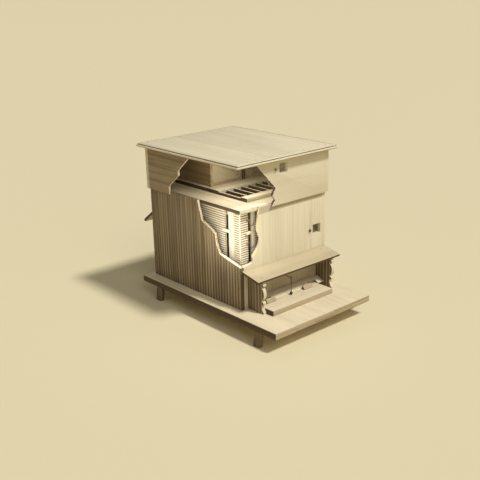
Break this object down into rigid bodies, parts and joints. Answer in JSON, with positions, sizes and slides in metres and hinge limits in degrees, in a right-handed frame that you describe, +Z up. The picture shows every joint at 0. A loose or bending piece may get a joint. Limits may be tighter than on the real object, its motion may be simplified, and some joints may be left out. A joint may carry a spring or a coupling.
{
  "type": "beehive",
  "caption": "Double-walled timber beehive on a large floor board, with porch entrance, slatted inner hive, honey boxes, lift-off cap and hinged flat roof, one corner cut away.",
  "frame": {"origin": "on the ground under the middle of the whole hive's box", "axes": "+Z up, front and entrance face -Y, +X to the right seen from the front"},
  "size_m": [0.7354, 1.1854, 0.871],
  "materials": {
    "case_pine": "planed pine, weathered",
    "side_pine": "planed pine, darker with age",
    "cap_pine": "planed pine, weathered",
    "roof_pine": "planed pine, weathered",
    "floor_pine": "planed pine, weathered",
    "leg_wood": "rough sawn, dark",
    "portico_pine": "planed pine, weathered",
    "slat_wood": "thin split slats, waxed by use",
    "top_board_pine": "planed pine",
    "honey_box_wood": "stained thin boards",
    "box_glass": "clear window glass",
    "comb": "wooden frames filled with wax comb",
    "iron": "dark wrought iron",
    "brass": "dull brass",
    "gauze": "dark woven wire"
  },
  "bodies": {
    "case": {"rear_wall": "case_pine", "right_wall": "case_pine", "front_wall": "case_pine", "left_wall": "side_pine", "bottom_board": "floor_pine", "alighting_board": "floor_pine", "leg_front_left": "leg_wood", "leg_front_right": "leg_wood", "leg_rear_left": "leg_wood", "leg_rear_right": "leg_wood", "portico_roof": "portico_pine", "portico_bracket_left": "portico_pine", "portico_bracket_right": "portico_pine", "entrance_bar": "portico_pine", "inner_post_front_left": "slat_wood", "inner_post_front_right": "slat_wood", "inner_post_rear_left": "slat_wood", "inner_post_rear_right": "slat_wood", "inner_panel_front": "slat_wood", "inner_panel_rear": "slat_wood", "inner_panel_left": "slat_wood", "inner_panel_right": "slat_wood", "top_board_left": "top_board_pine", "top_board_middle": "top_board_pine", "top_board_right": "top_board_pine", "honey_rack": "top_board_pine", "honey_box_left": "honey_box_wood", "honey_box_right": "honey_box_wood", "honey_glass_left": "box_glass", "honey_glass_right": "box_glass", "comb_bank_front": "comb", "comb_bank_rear": "comb", "rear_hinge_leaf_left": "iron", "rear_hinge_leaf_right": "iron", "entrance_latch_screw": "brass", "front_vent_screen": "gauze"},
    "cap": {"cap_left": "side_pine", "cap_right": "cap_pine", "cap_front": "cap_pine", "cap_rear": "cap_pine", "cap_vent_screen": "gauze", "cap_hinge_leaf_left": "iron", "cap_hinge_leaf_right": "iron"},
    "roof": {"roof": "roof_pine", "roof_hinge_leaf_left": "iron", "roof_hinge_leaf_right": "iron"},
    "rear_door": {"rear_door": "portico_pine", "door_hinge_leaf_left": "iron", "door_hinge_leaf_right": "iron"},
    "front_vent_shutter": {"front_vent_shutter": "iron"},
    "cap_vent_shutter": {"cap_vent_shutter": "iron"},
    "entrance_slide_left": {"entrance_slide_left": "portico_pine"},
    "entrance_slide_right": {"entrance_slide_right": "portico_pine"},
    "entrance_latch": {"entrance_latch": "iron"},
    "panel_button_front": {"panel_button_front": "slat_wood"},
    "panel_button_rear": {"panel_button_rear": "slat_wood"},
    "panel_button_left": {"panel_button_left": "slat_wood"},
    "panel_button_right": {"panel_button_right": "slat_wood"},
    "panel_hook_upper": {"panel_hook_upper": "iron"},
    "panel_hook_lower": {"panel_hook_lower": "iron"}
  },
  "joints": [
    {"name": "cap_lift", "type": "slide", "parent": "case", "child": "cap", "axis": [0, 0, 1], "range_m": [0, 0.24]},
    {"name": "roof_hinge", "type": "hinge", "parent": "cap", "child": "roof", "pos_m": [0.01425, 0.49083, 0.846], "axis": [-1, 0, 0], "range_deg": [0, 100]},
    {"name": "rear_door_hinge", "type": "hinge", "parent": "case", "child": "rear_door", "pos_m": [0.01425, 0.47833, 0.478], "axis": [1, 0, 0], "range_deg": [-53, 37]},
    {"name": "front_vent_shutter_pivot", "type": "hinge", "parent": "case", "child": "front_vent_shutter", "pos_m": [0.20325, -0.26267, 0.4225], "axis": [0, -1, 0], "range_deg": [0, 90]},
    {"name": "cap_vent_shutter_pivot", "type": "hinge", "parent": "cap", "child": "cap_vent_shutter", "pos_m": [-0.05675, -0.27267, 0.803], "axis": [0, -1, 0], "range_deg": [0, 90]},
    {"name": "entrance_slide_left_travel", "type": "slide", "parent": "case", "child": "entrance_slide_left", "axis": [1, 0, 0], "range_m": [0, 0.064]},
    {"name": "entrance_slide_right_travel", "type": "slide", "parent": "case", "child": "entrance_slide_right", "axis": [1, 0, 0], "range_m": [0, 0.062]},
    {"name": "entrance_latch_swing", "type": "hinge", "parent": "case", "child": "entrance_latch", "pos_m": [-0.00775, -0.34467, 0.232], "axis": [0, 1, 0], "range_deg": [-50, 50]},
    {"name": "panel_button_front_turn", "type": "hinge", "parent": "case", "child": "panel_button_front", "pos_m": [-0.19475, -0.22267, 0.489], "axis": [0, -1, 0], "range_deg": [0, 90]},
    {"name": "panel_button_rear_turn", "type": "hinge", "parent": "case", "child": "panel_button_rear", "pos_m": [-0.19475, 0.42233, 0.489], "axis": [0, -1, 0], "range_deg": [0, 90]},
    {"name": "panel_button_left_turn", "type": "hinge", "parent": "case", "child": "panel_button_left", "pos_m": [-0.24075, -0.13267, 0.489], "axis": [1, 0, 0], "range_deg": [0, 90]},
    {"name": "panel_button_right_turn", "type": "hinge", "parent": "case", "child": "panel_button_right", "pos_m": [0.26925, -0.13267, 0.489], "axis": [1, 0, 0], "range_deg": [0, 90]},
    {"name": "panel_hook_upper_turn", "type": "hinge", "parent": "case", "child": "panel_hook_upper", "pos_m": [-0.19275, -0.22217, 0.557], "axis": [0, -1, 0], "range_deg": [0, 80]},
    {"name": "panel_hook_lower_turn", "type": "hinge", "parent": "case", "child": "panel_hook_lower", "pos_m": [-0.19275, -0.22217, 0.437], "axis": [0, -1, 0], "range_deg": [0, 80]}
  ]
}
